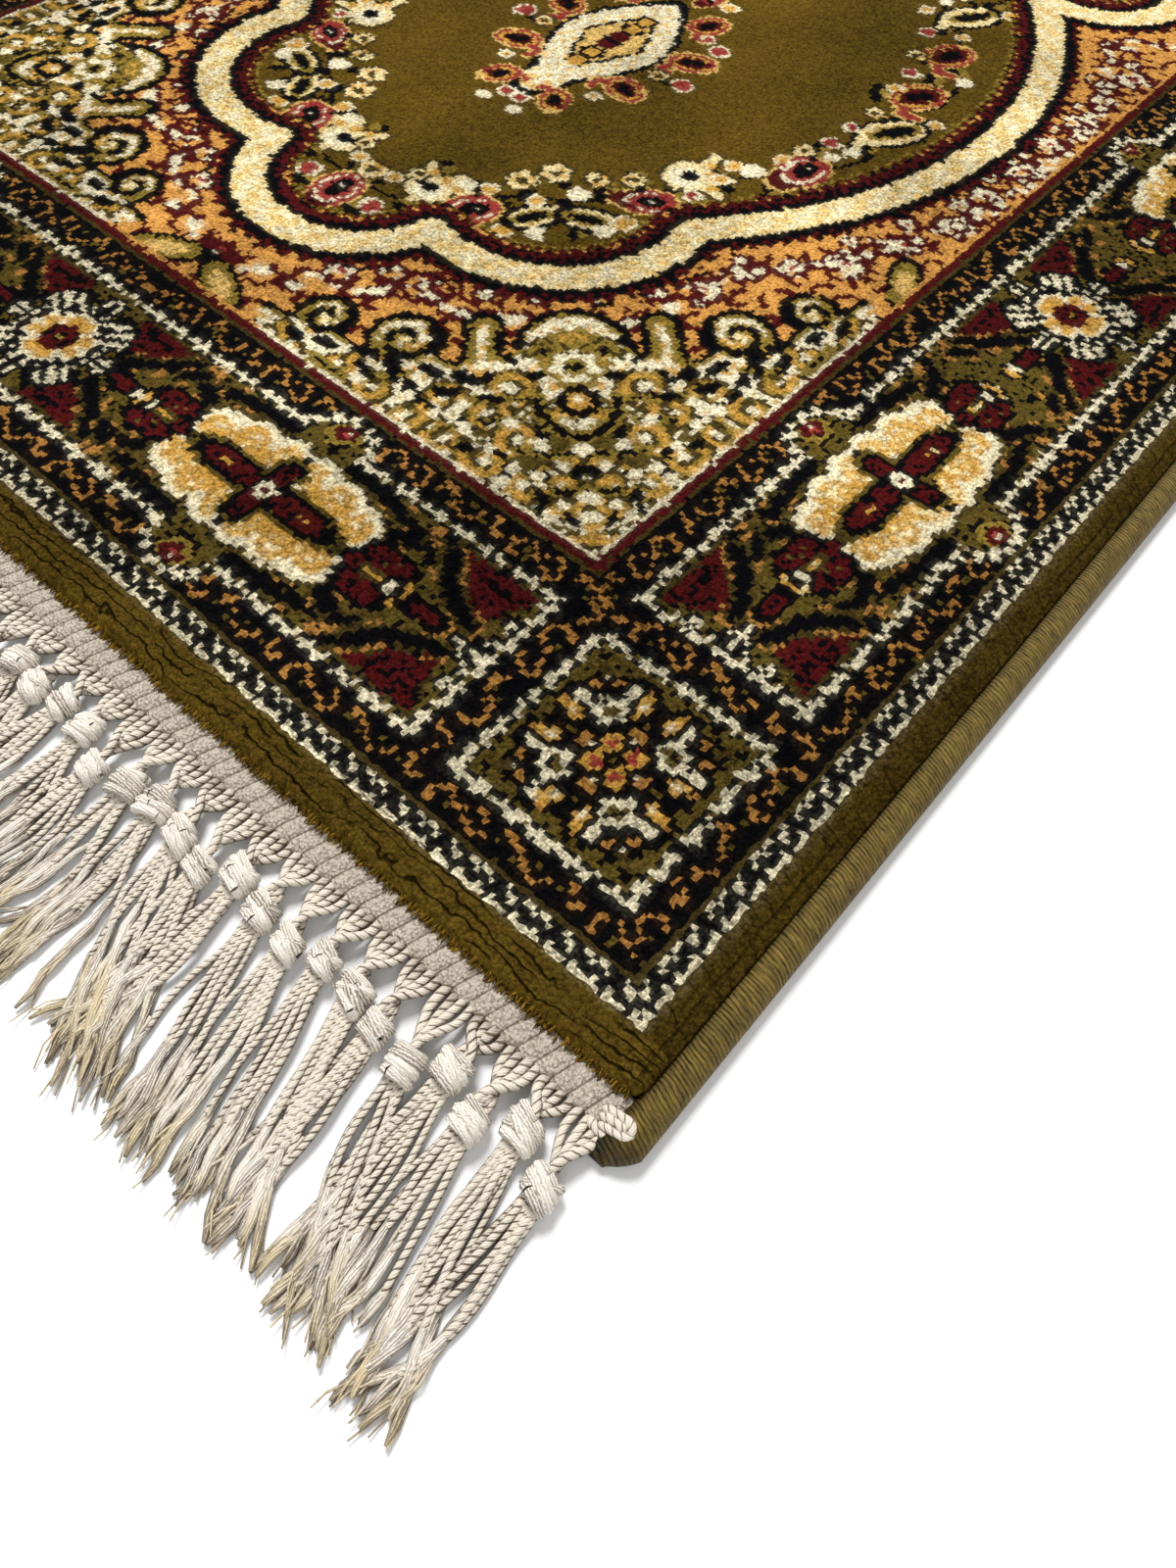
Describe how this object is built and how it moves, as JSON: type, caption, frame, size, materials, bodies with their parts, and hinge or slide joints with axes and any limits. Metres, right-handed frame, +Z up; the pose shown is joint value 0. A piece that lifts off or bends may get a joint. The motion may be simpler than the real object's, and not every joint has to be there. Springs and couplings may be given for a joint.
{
  "type": "oriental runner rug",
  "caption": "Long narrow pile rug that lies flat, with a bordered oriental pattern, whipped long edges, and a knotted fringe on a heading tape at both ends.",
  "frame": {"origin": "on the floor under the middle of the rug", "axes": "+Z up out of the pile, +Y along the rug, +X across it"},
  "size_m": [0.6922, 1.9236, 0.01],
  "materials": {
    "pile": "dense cut pile in olive, black, cream, gold and dark red",
    "binding_yarn": "whipped olive yarn with a slight sheen",
    "heading_tape": "matt pale cotton tape",
    "fringe_cord": "matt twisted cotton cord with golden frayed tips"
  },
  "bodies": {
    "root": {"rug_body": "pile", "edge_binding_left": "binding_yarn", "edge_binding_right": "binding_yarn", "heading_near": "heading_tape", "heading_far": "heading_tape", "fringe_near": "fringe_cord", "fringe_far": "fringe_cord"}
  },
  "joints": []
}
